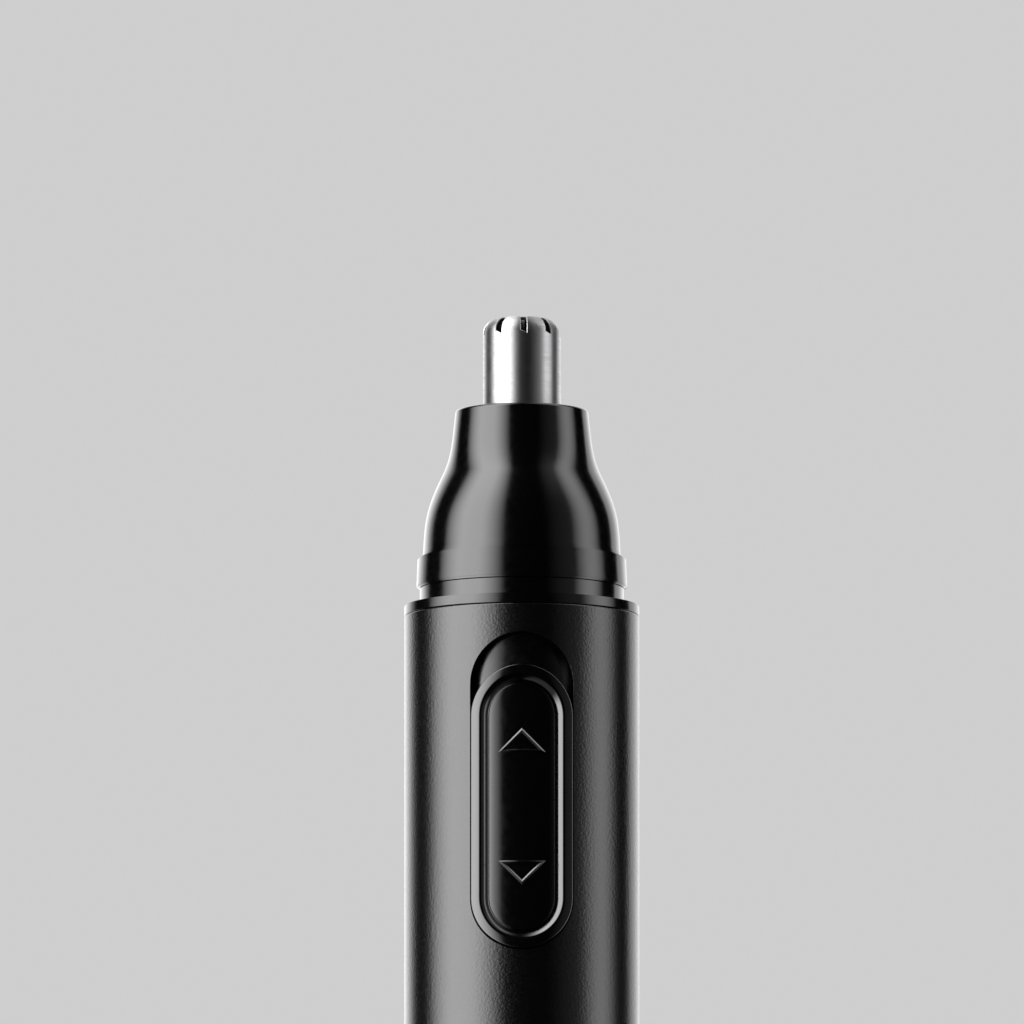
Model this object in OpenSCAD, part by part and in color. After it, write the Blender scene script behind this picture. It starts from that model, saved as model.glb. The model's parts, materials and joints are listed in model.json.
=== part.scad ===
// Nose hair trimmer, millimetres. The origin is the centre of the flat base,
// +Z runs up the handle to the cutter, and the slide switch faces -Y.

/* [Handle] */
// Outside diameter of the handle
body_d = 26; // [26:0.1:27]
// Height of the handle, from the flat base to the trim ring
body_h = 102; // [102:1:112]
// Wall of the textured outer sleeve
sleeve_wall = 1.4; // [1.2:0.1:1.4]
// Height of the base cap that shows below the sleeve
cap_h = 8; // [7:0.5:8]

/* [Switch] */
// Width of the window in the sleeve
window_w = 11.4; // [10.6:0.2:11.4]
// Length of the window
window_l = 35.25; // [35.25:0.25:36]
// Gap between the window and the sleeve's top edge
window_drop = 3.2; // [3:0.1:4]
// Length of the slide button
button_l = 31.45; // [31.45:0.05:32.2]
// Height that the button's rim stands proud of the sleeve
rim_proud = 0.3; // [0.1:0.1:0.5]

/* [Head] */
// Height of the trim ring on top of the sleeve
ring_h = 1.15; // [1:0.05:1.5]
// Height of the neck that shows between the trim ring and the nozzle
neck_h = 1.75; // [1.5:0.05:2]
// Height of the nozzle
nozzle_h = 20.1; // [20.1:0.1:22]
// Diameter of the nozzle's top rim
nozzle_top_d = 14.8; // [14:0.1:15.4]

/* [Cutter] */
// Diameter of the steel guard tube
guard_d = 8.6; // [8.2:0.1:9]
// Length of the guard above the nozzle
guard_reach = 10.2; // [9:0.1:12]
// Radius of the guard's rounded top edge
guard_edge_r = 1.65; // [1:0.05:1.8]
// Number of hair slots
slot_count = 9; // [6:1:12]
// Width of a hair slot
slot_w = 0.65; // [0.4:0.05:0.8]

/* [Power] */
// Diameter of the AA cell
cell_d = 14.5; // [13.5:0.1:14.5]
// Length of the AA cell with its positive end
cell_l = 50.5; // [49.5:0.1:50.5]
// Diameter of the motor can
motor_d = 20.4; // [19.6:0.1:20.4]
// Width of the motor can across its flats
motor_flat_w = 15.4; // [15:0.1:15.4]
// Length of the motor can with its end cap
motor_l = 25; // [24:0.5:25]

/* [Hidden] */
$fn = 96;

// Clearances: a pressed joint, touching faces, a fixed joint, a running fit, and
// a gap between moving pieces
press = 0.005;
touch = 0.02;
fit = 0.05;
run = 0.06;
gap = 0.15;
// Overlap that joins two shapes of one piece
lap = 0.1;
// Thickness of the contact strips
strip_t = 0.25;
// Overrun of a cutting shape past the face that it cuts
past = 1;

// Handle
body_r = body_d / 2;
bore_r = body_r - sleeve_wall;
chassis_r = bore_r - fit;
chassis_wall = 1.2;
room_r = chassis_r - chassis_wall;
chassis_top = body_h - 2.6;
spigot_top = cap_h + 6;
chassis_foot = spigot_top + 1.5;
snap_z = chassis_top - 1.6;
snap_half_w = 2;

// AA cell and its contacts
cell_foot = 9;
cell_can_top = cell_foot + cell_l - 1.2;
cell_top = cell_foot + cell_l;
cell_cap_r = 4.95;
button_top_r = 2.7;
contact_z = cell_top + fit;
bulkhead_foot = cell_top + 0.5;
bulkhead_top = bulkhead_foot + 1.5;
strip_out_y = room_r - 0.15;
negative_half_w = 1.2;

// Motor
motor_r = motor_d / 2;
motor_top = body_h - 11;
motor_foot = motor_top - motor_l;
can_wall = 0.7;
end_cap_h = 2.4;
end_plug_h = 1.6;
boss_r = 3.1;
boss_h = 1.5;
shaft_r = 1;
shaft_top = body_h - 3.6;
commutator_r = 2.2;
brush_r = commutator_r + 0.05;
brush_room_r = 5.9;
front_bearing_r = 2.6;
rear_bearing_r = 2.4;
rear_boss_r = 3.4;
rear_boss_h = 1.2;
end_cap_floor = 1.2;
terminal_y = 5.4;
terminal_z = motor_foot - 2.8;
strip_foot = terminal_z - touch - strip_t;
armature_r = 6.7;
shoe_t = 1;
tooth_half_w = 1.1;
coil_half_w = 2.1;
hub_r = 2.6;
magnet_r = 7.0;
core_foot = motor_foot + 7;
core_top = core_foot + 11;

// Motor clamp and its screws
clamp_foot = motor_top + fit;
clamp_top = clamp_foot + 1.8;
post_r = 0.95;
post_x = 3.2;
post_y = motor_flat_w / 2 + post_r + 0.1;
screw_r = 0.55;
screw_l = 6.5;
screw_head_r = 0.95;
screw_head_h = 0.8;

// Switch
end_gap = 0.15;
side_gap = 0.1;
switch_travel = window_l - button_l - 2 * end_gap;
window_top = body_h - window_drop;
window_foot = window_top - window_l;
button_foot = window_foot + end_gap;
button_mid = button_foot + button_l / 2;
button_w = window_w - 2 * side_gap;
rim_w = 1.3;
pad_r = body_r - 0.15;
leg_spread = 5;
leg_w = 2.4;
leg_h = 2;
carrier_back = motor_flat_w / 2 + fit;
carrier_face = carrier_back + 0.38;
carrier_half_w = 5.8;
strip_back = carrier_face + touch;
strip_face = strip_back + strip_t;
dimple_face = strip_face + 0.05;
wiper_face = dimple_face + 0.15;
wiper_back = wiper_face + strip_t;
wiper_x = 2.2;
slider_face = wiper_back + touch;
slider_half_w = 4;
slider_l = 15;
notch_depth = 0.45;
detent_z = button_mid + switch_travel / 2;
detent_r = 0.9;
detent_x = slider_half_w + 1;
detent_t = 0.4;
mark_z = 5.97;
mark_size = 2.75;
mark_line_w = 0.35;
// The positive strip and the motor strip stand side by side: their inner and outer edges
strip_edges = [1.2, 3.2];
motor_strip_edges = [1.2, 3.9, 5.4];

// Head frame
ring_top = body_h + ring_h;
neck_top = ring_top + neck_h;
neck_r = 11.28;
spigot_r = 10.1;
spigot_h = 3.5;
head_seat = neck_top + spigot_h;
frame_bore_r = 8;
seal_r = 4.2;
seal_h = 1.2;
neck_seal_r = 0.56;
neck_groove_r = 9.05;
neck_groove = [head_seat - 2.4, head_seat - 1.2];

// Nozzle
nozzle_bore_r = spigot_r + gap;
nozzle_top = neck_top + nozzle_h;
collar_r = neck_r + 0.38;
collar_h = 3.5;
collar_taper = 0.12;
key_half_w = 0.8;
key_r = spigot_r + 0.6;
rim_r = 0.4;
// The bell: radius and height of its foot, middle and top, the radius that it
// loses per millimetre of height there, and the reach of each curve's handles
bell_foot = [10.92, neck_top + 4.2];
bell_mid = [8.85, neck_top + 12.7];
bell_top = [nozzle_top_d / 2, nozzle_top - rim_r];
foot_lean = 0.04;
mid_lean = 0.49;
top_lean = 0.11;
shoulder_reach = 3.5;
waist_reach = 2.1;
taper_reach = 3.4;
bell_steps = 14;

// Guard, blade and stem
guard_r = guard_d / 2;
guard_wall = 0.35;
guard_top = nozzle_top + guard_reach;
guard_seat = nozzle_top - 9;
flange_r = 5.6;
flange_h = 0.55;
slot_drop = 1.75;
slot_inner_r = 2.2;
first_slot = -87;
retainer_r = 6.4;
retainer_flange_r = 8.6;
bush_r = 3;
retainer_top = guard_seat - flange_h - fit;
retainer_foot = retainer_top - 4.4;
blade_gap = 0.1;
blade_r = guard_r - guard_wall - blade_gap;
blade_foot = guard_top - 8;
blade_top = guard_top - guard_wall - blade_gap;
blade_t = 0.6;
hub_pin_r = 1;
spring_r = 2.6;
collar_rim_r = 3.4;
stem_r = 1.8;
stem_foot_r = 2.6;
stem_foot = body_h - 1.8;
stem_shoulder = head_seat + 1.4;
spring_collar_z = retainer_top + 5.6;
tip_r = 1.7;
tip_top = neck_top + 1.4;
coupling_r = 3.2;

// Base cap
cap_r = body_r - 0.1;
cap_floor = 1.8;
cap_edge_r = 0.8;
cap_spigot_r = bore_r - 0.1;
base_seal_r = 0.35;
base_seal_z = cap_h + 3;
seal_groove_half_h = 0.45;
plate_foot = cap_floor + fit;
plate_r = 8.6;

function arc(centre, r, from, to, steps) =
    [for (i = [0:steps])
        let (a = from + (to - from) * i / steps)
        centre + r * [cos(a), sin(a)]];

function bezier(a, b, c, d, steps) =
    [for (i = [0:steps])
        let (t = i / steps, u = 1 - t)
        u * u * u * a + 3 * u * u * t * b + 3 * u * t * t * c + t * t * t * d];

// A list without its first item
function rest(list) = [for (i = [1:len(list) - 1]) list[i]];

// A point that lies up the profile by reach, along a wall that leans inwards
function along(p, lean, reach) = p + reach * [-lean, 1];

module tube(outer_r, inner_r, foot, top) {
    translate([0, 0, foot])
    difference() {
        cylinder(r = outer_r, h = top - foot);
        translate([0, 0, -past]) cylinder(r = inner_r, h = top - foot + 2 * past);
    }
}

// A box given by its lowest and highest corners
module block(low, high) {
    translate(low) cube(high - low);
}

module o_ring(ring_r, section_r, z) {
    translate([0, 0, z])
    rotate_extrude() translate([ring_r, 0]) circle(r = section_r, $fn = 32);
}

// An upright slot with round ends, cut through the front of the handle
module stadium(w, foot, l, near, far) {
    end_r = w / 2;
    translate([0, -near, 0])
    rotate([90, 0, 0])
    linear_extrude(height = far - near) {
        for (z = [foot + end_r, foot + l - end_r]) {
            translate([0, z]) circle(r = end_r);
        }
        translate([-end_r, foot + end_r]) square([w, l - w]);
    }
}

module motor_outline(inset) {
    intersection() {
        circle(r = motor_r - inset);
        square([motor_d + past, motor_flat_w - 2 * inset], center = true);
    }
}

// Round wire wound into a spring whose radius and height run from end to end
module wire_spring(foot_r, top_r, wire_r, foot, top, turns) {
    sides = 6;
    rings = round(14 * turns);
    points = [
        for (i = [0:rings])
            let (s = i / rings, a = 360 * turns * s, r = foot_r + (top_r - foot_r) * s)
            for (j = [0:sides - 1])
                let (b = 360 * j / sides, w = r + wire_r * cos(b))
                [w * cos(a), w * sin(a), foot + (top - foot) * s + wire_r * sin(b)]
    ];
    walls = [
        for (i = [0:rings - 1])
            for (j = [0:sides - 1])
                let (k = (j + 1) % sides)
                [i * sides + j, i * sides + k, (i + 1) * sides + k, (i + 1) * sides + j]
    ];
    first_end = [for (j = [0:sides - 1]) sides - 1 - j];
    last_end = [for (j = [0:sides - 1]) rings * sides + j];
    polyhedron(points = points, faces = concat([first_end], walls, [last_end]));
}

// Handle

module sleeve() {
    color("#1b1b1d")
    difference() {
        tube(body_r, bore_r, cap_h, body_h);
        stadium(window_w, window_foot, window_l, bore_r / 2, body_r + past);
    }
}

// The legs' slots are as long as a leg and its travel
module leg_slots() {
    for (side = [-1, 1]) {
        leg_foot = button_mid + side * leg_spread - leg_h / 2;
        block([-leg_w / 2 - 0.3, -chassis_r - past, leg_foot - 0.3],
            [leg_w / 2 + 0.3, -room_r + past, leg_foot + leg_h + switch_travel + 0.3]);
    }
}

module cell_ribs() {
    for (turn = [45:90:315]) {
        rotate([0, 0, turn])
        block([cell_d / 2 + 0.2, -0.6, chassis_foot + 1.5], [room_r + 0.4, 0.6, bulkhead_foot + 0.1]);
    }
}

module screw_posts() {
    intersection() {
        for (side = [-1, 1]) {
            translate([side * post_x, post_y, bulkhead_foot])
            cylinder(r = post_r, h = motor_top - bulkhead_foot);
        }
        cylinder(r = room_r + 0.4, h = body_h);
    }
}

module motor_rests() {
    difference() {
        intersection() {
            block([-room_r - 1, -2, bulkhead_top - 0.1], [room_r + 1, 2, motor_foot - fit]);
            cylinder(r = room_r + 0.4, h = body_h);
        }
        cylinder(r = room_r - 2.5, h = body_h);
    }
}

module detent_seats() {
    for (z = [detent_z - 12, detent_z + 9]) {
        intersection() {
            block([-detent_x - 0.5, -room_r, z], [-detent_x + 0.3, -strip_face - fit, z + 0.8]);
            cylinder(r = room_r + 0.4, h = body_h);
        }
    }
}

module chassis() {
    color("#101012")
    difference() {
        union() {
            tube(chassis_r, room_r, chassis_foot, chassis_top);
            translate([0, 0, bulkhead_foot])
            cylinder(r = room_r + 0.4, h = bulkhead_top - bulkhead_foot);
            cell_ribs();
            screw_posts();
            motor_rests();
            detent_seats();
        }
        leg_slots();
        for (side = [-1, 1]) {
            block([side * chassis_r - 2, -snap_half_w, snap_z - 1],
                [side * chassis_r + 2, snap_half_w, snap_z + 1]);
            translate([side * post_x, post_y, motor_top - screw_l])
            cylinder(r = screw_r + fit, h = screw_l + past);
        }
        block([-strip_edges[1] - 0.2, -strip_face - 0.2, bulkhead_foot - past],
            [-strip_edges[0] + 0.2, -strip_back + 0.2, bulkhead_top + past]);
        block([-negative_half_w - 0.1, strip_out_y - 0.5, bulkhead_foot - past],
            [negative_half_w + 0.1, strip_out_y + fit, bulkhead_top + past]);
    }
}

module head_frame() {
    edge = 0.2;
    snap_r = room_r - 0.1;
    seat_r = seal_r + touch;
    plate_foot = head_seat - seal_h - 0.4;
    color("#0c0c0e") {
        rotate_extrude()
        polygon([
            [frame_bore_r, body_h - 6], [snap_r, body_h - 6],
            [snap_r, chassis_top + fit], [bore_r - 0.1, chassis_top + fit],
            [bore_r - 0.1, body_h + touch], [body_r, body_h + touch],
            [body_r, ring_top - edge], [body_r - edge, ring_top],
            [neck_r, ring_top], [neck_r, neck_top],
            [spigot_r, neck_top], [spigot_r, neck_groove[0]],
            [neck_groove_r, neck_groove[0]], [neck_groove_r, neck_groove[1]],
            [spigot_r, neck_groove[1]], [spigot_r, head_seat - 0.3],
            [spigot_r - 0.3, head_seat], [seat_r, head_seat],
            [seat_r, head_seat - seal_h], [seal_r - 0.8, head_seat - seal_h],
            [seal_r - 0.8, plate_foot], [frame_bore_r, plate_foot]
        ]);
        block([-key_half_w, -key_r, neck_top - lap],
            [key_half_w, -spigot_r + 0.3, neck_groove[0]]);
        for (side = [-1, 1]) {
            block([side * snap_r - 0.7, -snap_half_w + 0.2, snap_z - 0.8],
                [side * snap_r + 0.7, snap_half_w - 0.2, snap_z + 0.8]);
        }
    }
}

module neck_seal() {
    color("#202020")
    o_ring(neck_groove_r + neck_seal_r + touch, neck_seal_r, (neck_groove[0] + neck_groove[1]) / 2);
}

module shaft_seal() {
    foot = head_seat - seal_h + touch;
    color("#303030")
    rotate_extrude()
    polygon([
        [seal_r, foot], [seal_r, head_seat - 0.05], [seal_r - 0.5, head_seat - 0.05],
        [stem_foot_r + 0.4, head_seat - 0.4], [stem_foot_r + run, head_seat - 0.1],
        [stem_foot_r + run, head_seat - 0.4], [stem_foot_r + 0.9, foot]
    ]);
}

module motor_clamp() {
    color("#c8c8c4")
    difference() {
        tube(room_r - fit, boss_r + 0.3, clamp_foot, clamp_top);
        for (side = [-1, 1]) {
            translate([side * post_x, post_y, clamp_foot - past]) cylinder(r = screw_r + 0.2, h = 5);
        }
        block([-5, -room_r - past, clamp_foot - past],
            [5, -strip_back - 0.6, clamp_foot + 0.6]);
    }
}

module clamp_screws() {
    color("#b8babd")
    for (side = [-1, 1]) {
        translate([side * post_x, post_y, clamp_top])
        difference() {
            union() {
                translate([0, 0, touch]) cylinder(r = screw_head_r, h = screw_head_h);
                translate([0, 0, -screw_l]) cylinder(r = screw_r, h = screw_l + lap);
            }
            for (turn = [0, 90]) {
                rotate([0, 0, turn])
                translate([0, 0, screw_head_h]) cube([1.3, 0.25, 0.8], center = true);
            }
        }
    }
}

// Motor

module motor_can() {
    can_foot = motor_foot + end_cap_h + touch;
    color("#a9abad")
    difference() {
        union() {
            translate([0, 0, can_foot])
            linear_extrude(height = motor_top - can_foot) motor_outline(0);
            translate([0, 0, motor_top - can_wall]) cylinder(r = boss_r, h = can_wall + boss_h);
        }
        translate([0, 0, can_foot - past])
        linear_extrude(height = motor_top - can_wall - can_foot + past) motor_outline(can_wall);
        translate([0, 0, motor_top - can_wall - past])
        cylinder(r = front_bearing_r + touch, h = can_wall + boss_h + past - 0.1);
        translate([0, 0, motor_top]) cylinder(r = 1.3, h = boss_h + past);
    }
}

module motor_end_cap() {
    boss_foot = motor_foot - rear_boss_h;
    color("#e6e4dc")
    difference() {
        union() {
            translate([0, 0, motor_foot]) linear_extrude(height = end_cap_h) motor_outline(0);
            translate([0, 0, motor_foot + end_cap_h - lap])
            linear_extrude(height = end_plug_h + lap) motor_outline(can_wall + fit);
            translate([0, 0, boss_foot]) cylinder(r = rear_boss_r, h = rear_boss_h + lap);
        }
        translate([0, 0, motor_foot + end_cap_floor]) cylinder(r = brush_room_r, h = 5);
        translate([0, 0, boss_foot + 0.2]) cylinder(r = rear_bearing_r + touch, h = 5);
        for (side = [-1, 1]) {
            translate([0, side * terminal_y, motor_foot])
            cube([2.1, 0.4, 4], center = true);
        }
    }
}

module motor_magnets() {
    spread = 44;
    color("#3c3c40")
    translate([0, 0, motor_foot + 5])
    for (turn = [0, 180]) {
        rotate([0, 0, turn - spread])
        rotate_extrude(angle = 2 * spread)
        translate([magnet_r, 0]) square([motor_r - can_wall - fit - magnet_r, motor_l - 7]);
    }
}

module front_bearing() {
    color("#a5854e")
    tube(front_bearing_r, shaft_r + run, motor_top - can_wall, motor_top + boss_h - 0.15);
}

module rear_bearing() {
    color("#a5854e")
    tube(rear_bearing_r, shaft_r + run, motor_foot - 0.95, motor_foot + end_cap_floor);
}

module motor_brushes() {
    foot = motor_foot + end_cap_floor + fit;
    color("#c9a24f")
    for (turn = [0, 180]) {
        rotate([0, 0, turn]) {
            block([-1, brush_r, foot], [1, terminal_y + 0.2, foot + strip_t]);
            block([-1, brush_r, foot], [1, brush_r + strip_t, motor_foot + 5]);
        }
    }
}

module motor_terminals() {
    color("#c2b27a")
    for (side = [-1, 1]) {
        block([-1, side * terminal_y - 0.15, terminal_z],
            [1, side * terminal_y + 0.15, motor_foot + end_cap_floor + touch]);
    }
}

// Contacts

module contact_carrier() {
    color("#d8d2bd")
    block([-carrier_half_w, -carrier_face, motor_foot + 0.2],
        [carrier_half_w, -carrier_back, motor_top - 0.2]);
}

module positive_contact() {
    near = strip_edges[0];
    far = strip_edges[1];
    color("#c9c4b2") {
        translate([0, 0, contact_z]) cylinder(r = 4.5, h = strip_t);
        block([-far, -strip_face, contact_z], [-near, 0, contact_z + strip_t]);
        block([-far, -strip_face, contact_z], [-near, -strip_back, detent_z + 4]);
    }
}

module motor_strip() {
    near = motor_strip_edges[0];
    bend = motor_strip_edges[1];
    far = motor_strip_edges[2];
    pad_foot = button_mid + 1.3;
    color("#c9a24f") {
        block([near, -strip_face, pad_foot], [far, -strip_back, detent_z + 4]);
        block([bend, -strip_face, strip_foot], [far, -strip_back, pad_foot + lap]);
        block([-0.8, -strip_face, strip_foot], [far, -terminal_y + 0.2, strip_foot + strip_t]);
    }
}

module negative_strip() {
    half = negative_half_w;
    top = strip_foot + strip_t;
    color("#c9a24f") {
        block([-half, strip_out_y - strip_t, cap_h + 2.5], [half, strip_out_y, top]);
        block([-half, terminal_y - 0.2, strip_foot], [half, strip_out_y, top]);
    }
}

module cell_body() {
    color("#3a4a58")
    difference() {
        translate([0, 0, cell_foot]) cylinder(d = cell_d, h = cell_can_top - cell_foot);
        translate([0, 0, cell_can_top - 0.6]) cylinder(r = cell_cap_r + fit, h = 2);
        translate([0, 0, cell_foot - past]) tube(cell_d / 2 - 0.9, 4.6, 0, past + 0.25);
    }
}

module cell_terminal() {
    color("#c4c6c8") {
        translate([0, 0, cell_can_top - 0.6 + touch]) cylinder(r = cell_cap_r, h = 0.6);
        translate([0, 0, cell_can_top - lap])
        cylinder(r = button_top_r, h = cell_top - cell_can_top + lap);
    }
}

module detent_spring() {
    color("#b9bbbe") {
        block([-detent_x - 0.2, -strip_face - fit - detent_t, detent_z - 11.1],
            [-detent_x, -strip_face - fit, detent_z + 8.9]);
        intersection() {
            translate([-detent_x + 0.25, -strip_face - fit - detent_t, detent_z])
            rotate([-90, 0, 0]) cylinder(r = detent_r, h = detent_t);
            block([-detent_x - lap, -strip_face - 1, detent_z - 2],
                [-slider_half_w + notch_depth - 0.1, 0, detent_z + 2]);
        }
    }
}

// Switch

// A right-angled arrowhead standing on its long side
module arrow_outline(size, line_w) {
    inner = size - line_w * (1 + sqrt(2));
    difference() {
        polygon([[-size, 0], [size, 0], [0, size]]);
        translate([0, line_w]) polygon([[-inner, 0], [inner, 0], [0, inner]]);
    }
}

module switch_button() {
    color("#0d0d0f") {
        difference() {
            intersection() {
                stadium(button_w, button_foot, button_l, bore_r / 2, body_r + past);
                tube(body_r + rim_proud, bore_r + 0.05, button_foot, button_foot + button_l);
            }
            intersection() {
                stadium(button_w - 2 * rim_w, button_foot + rim_w, button_l - 2 * rim_w,
                    bore_r / 2, body_r + past);
                tube(body_r + past, pad_r, button_foot, button_foot + button_l);
            }
        }
        intersection() {
            for (side = [-1, 1]) {
                translate([0, -bore_r, button_mid + side * mark_z])
                rotate([90, 0, 0])
                linear_extrude(height = 2)
                rotate([0, 0, side > 0 ? 0 : 180])
                arrow_outline(mark_size, mark_line_w);
            }
            tube(body_r, pad_r - 0.2, button_foot, button_foot + button_l);
        }
        for (side = [-1, 1]) {
            z = button_mid + side * leg_spread;
            block([-leg_w / 2, -bore_r - 0.4, z - leg_h / 2],
                [leg_w / 2, -slider_face + lap, z + leg_h / 2]);
        }
    }
}

module switch_slider() {
    low = button_mid - slider_l / 2;
    high = button_mid + slider_l / 2;
    color("#e2e0d6")
    difference() {
        intersection() {
            block([-slider_half_w, -room_r, low], [slider_half_w, -slider_face, high]);
            cylinder(r = room_r - gap, h = body_h);
        }
        for (side = [-1, 1]) {
            z = button_mid + side * leg_spread;
            block([-leg_w / 2 - 0.03, -room_r - past, z - leg_h / 2 - 0.03],
                [leg_w / 2 + 0.03, 0, z + leg_h / 2 + 0.03]);
        }
        block([-slider_half_w - past, -room_r, detent_z - switch_travel - detent_r - 0.1],
            [-slider_half_w + notch_depth, 0, detent_z + detent_r + 0.1]);
    }
}

module switch_contact() {
    color("#c9a24f") {
        block([-wiper_x - 1, -wiper_back, button_mid - 2.6],
            [wiper_x + 1, -wiper_face, button_mid + 2.6]);
        for (side = [-1, 1]) {
            translate([side * wiper_x, -dimple_face, button_mid])
            rotate([90, 0, 0]) cylinder(r = 0.5, h = wiper_face - dimple_face + lap);
        }
    }
}

// Rotor

module motor_shaft() {
    color("#c4c6c8")
    translate([0, 0, motor_foot - 0.8]) cylinder(r = shaft_r, h = shaft_top - motor_foot + 0.8);
}

module armature_core() {
    color("#77797c")
    translate([0, 0, core_foot])
    linear_extrude(height = core_top - core_foot)
    difference() {
        union() {
            circle(r = hub_r);
            for (turn = [0:120:240]) {
                rotate([0, 0, turn]) {
                    translate([0, -tooth_half_w])
                    square([armature_r - shoe_t / 2, 2 * tooth_half_w]);
                    intersection() {
                        difference() {
                            circle(r = armature_r);
                            circle(r = armature_r - shoe_t);
                        }
                        polygon([[0, 0], [9, -6], [9, 6]]);
                    }
                }
            }
        }
        circle(r = shaft_r + press);
    }
}

// Each coil wraps a tooth, between the hub and the pole shoe's inner face
module armature_windings() {
    coil_in = hub_r + 0.3;
    coil_out = sqrt(pow(armature_r - shoe_t, 2) - pow(coil_half_w, 2)) - fit;
    tooth = tooth_half_w + 0.03;
    color("#a8562a")
    for (turn = [0:120:240]) {
        rotate([0, 0, turn])
        difference() {
            block([coil_in, -coil_half_w, core_foot - 1.6], [coil_out, coil_half_w, core_top + 1.6]);
            block([coil_in - past, -tooth, core_foot - 0.03], [coil_out + past, tooth, core_top + 0.03]);
        }
    }
}

module commutator() {
    foot = motor_foot + 3;
    slit_half_w = 0.12;
    color("#b87333")
    difference() {
        tube(commutator_r, shaft_r + press, foot, foot + 2.2);
        for (turn = [0:120:240]) {
            rotate([0, 0, turn])
            block([commutator_r - 0.3, -slit_half_w, foot - past], [3, slit_half_w, foot + 4]);
        }
    }
}

module drive_coupling() {
    hub_foot = clamp_top + 0.7;
    color("#e9e7df") {
        tube(coupling_r, shaft_r + press, hub_foot, shaft_top + touch);
        translate([0, 0, shaft_top + touch / 2]) cylinder(r = coupling_r, h = 0.8);
        translate([0, 0, shaft_top + 0.7])
        cylinder(r = tip_r, h = tip_top - shaft_top - 0.7, $fn = 6);
    }
}

// Head

function nozzle_outside() = concat(
    [
        [neck_r, neck_top + touch],
        [collar_r, neck_top + 0.4],
        [collar_r - collar_taper, neck_top + collar_h],
        [collar_r - 2 * collar_taper, neck_top + collar_h + 0.17],
        [bell_foot[0] + 0.28, neck_top + collar_h + 0.3]
    ],
    bezier(bell_foot, along(bell_foot, foot_lean, shoulder_reach),
        along(bell_mid, mid_lean, -shoulder_reach), bell_mid, bell_steps),
    rest(bezier(bell_mid, along(bell_mid, mid_lean, waist_reach),
        along(bell_top, top_lean, -taper_reach), bell_top, bell_steps)),
    arc(bell_top - [rim_r, 0], rim_r, 15, 90, 5)
);

module nozzle() {
    color("#0c0c0e")
    difference() {
        rotate_extrude()
        polygon(concat(
            [[nozzle_bore_r, neck_top + touch]],
            nozzle_outside(),
            [
                [guard_r + fit, nozzle_top],
                [guard_r + fit, guard_seat],
                [retainer_r + fit, guard_seat],
                [retainer_r + fit, retainer_foot + 1.1],
                [retainer_flange_r + 0.4, retainer_foot + 0.6],
                [retainer_flange_r + 0.4, head_seat + 0.9],
                [nozzle_bore_r, head_seat + 0.3]
            ]
        ));
        block([-key_half_w - gap, -key_r - gap, neck_top - past],
            [key_half_w + gap, 0, head_seat - 2]);
    }
}

module cutter_guard() {
    edge_centre = [guard_r - guard_edge_r, guard_top - guard_edge_r];
    foot = guard_seat - flange_h;
    inner_r = guard_r - guard_wall;
    color("#c9cbcd")
    difference() {
        rotate_extrude()
        polygon(concat(
            [[inner_r, foot], [flange_r, foot], [flange_r, guard_seat - touch],
                [guard_r, guard_seat - touch]],
            arc(edge_centre, guard_edge_r, 0, 90, 10),
            [[0, guard_top], [0, guard_top - guard_wall]],
            arc(edge_centre, guard_edge_r - guard_wall, 90, 0, 10)
        ));
        for (i = [0:slot_count - 1]) {
            rotate([0, 0, first_slot + 360 * i / slot_count])
            block([slot_inner_r, -slot_w / 2, guard_top - slot_drop],
                [guard_r + past, slot_w / 2, guard_top + past]);
        }
    }
}

module guard_retainer() {
    color("#d9d7cf") {
        tube(retainer_r, bush_r + fit, retainer_foot + 0.5, retainer_top);
        tube(retainer_flange_r, bush_r + fit, retainer_foot, retainer_foot + 0.5 + fit);
    }
}

module stem_bush() {
    color("#a5854e") tube(bush_r, stem_r + run, retainer_foot + 0.2, retainer_top - fit);
}

// Cutter

module cutter_blade() {
    edge_r = guard_edge_r - guard_wall - blade_gap;
    color("#b3b6b9")
    intersection() {
        union() {
            for (turn = [0, 90]) {
                rotate([0, 0, turn])
                block([-blade_r, -blade_t / 2, blade_foot + 0.9],
                    [blade_r, blade_t / 2, blade_top]);
            }
            difference() {
                translate([0, 0, blade_foot]) cylinder(r = 3.1, h = 1);
                translate([0, 0, blade_foot - past]) cylinder(r = hub_pin_r + touch, h = past + 0.8);
            }
        }
        rotate_extrude()
        polygon(concat(
            [[0, blade_foot], [blade_r, blade_foot]],
            arc([blade_r - edge_r, blade_top - edge_r], edge_r, 0, 90, 10),
            [[0, blade_top]]
        ));
    }
}

module blade_stem() {
    socket_r = tip_r + 0.18;
    color("#e4e2da")
    difference() {
        union() {
            translate([0, 0, stem_foot]) cylinder(r = stem_foot_r, h = stem_shoulder - stem_foot);
            translate([0, 0, stem_shoulder - lap])
            cylinder(r = stem_r, h = blade_foot - touch - stem_shoulder + lap);
            translate([0, 0, spring_collar_z]) cylinder(r = collar_rim_r, h = 0.8);
            translate([0, 0, blade_foot - lap]) cylinder(r = hub_pin_r, h = 0.85);
        }
        translate([0, 0, stem_foot - past])
        cylinder(r = socket_r, h = tip_top + 0.3 - stem_foot + past, $fn = 6);
    }
}

module blade_spring() {
    wire_r = 0.25;
    color("#c0c2c4")
    wire_spring(spring_r, spring_r, wire_r, retainer_top + wire_r + 0.1,
        spring_collar_z - wire_r - 0.03, 4);
}

// Base

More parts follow.
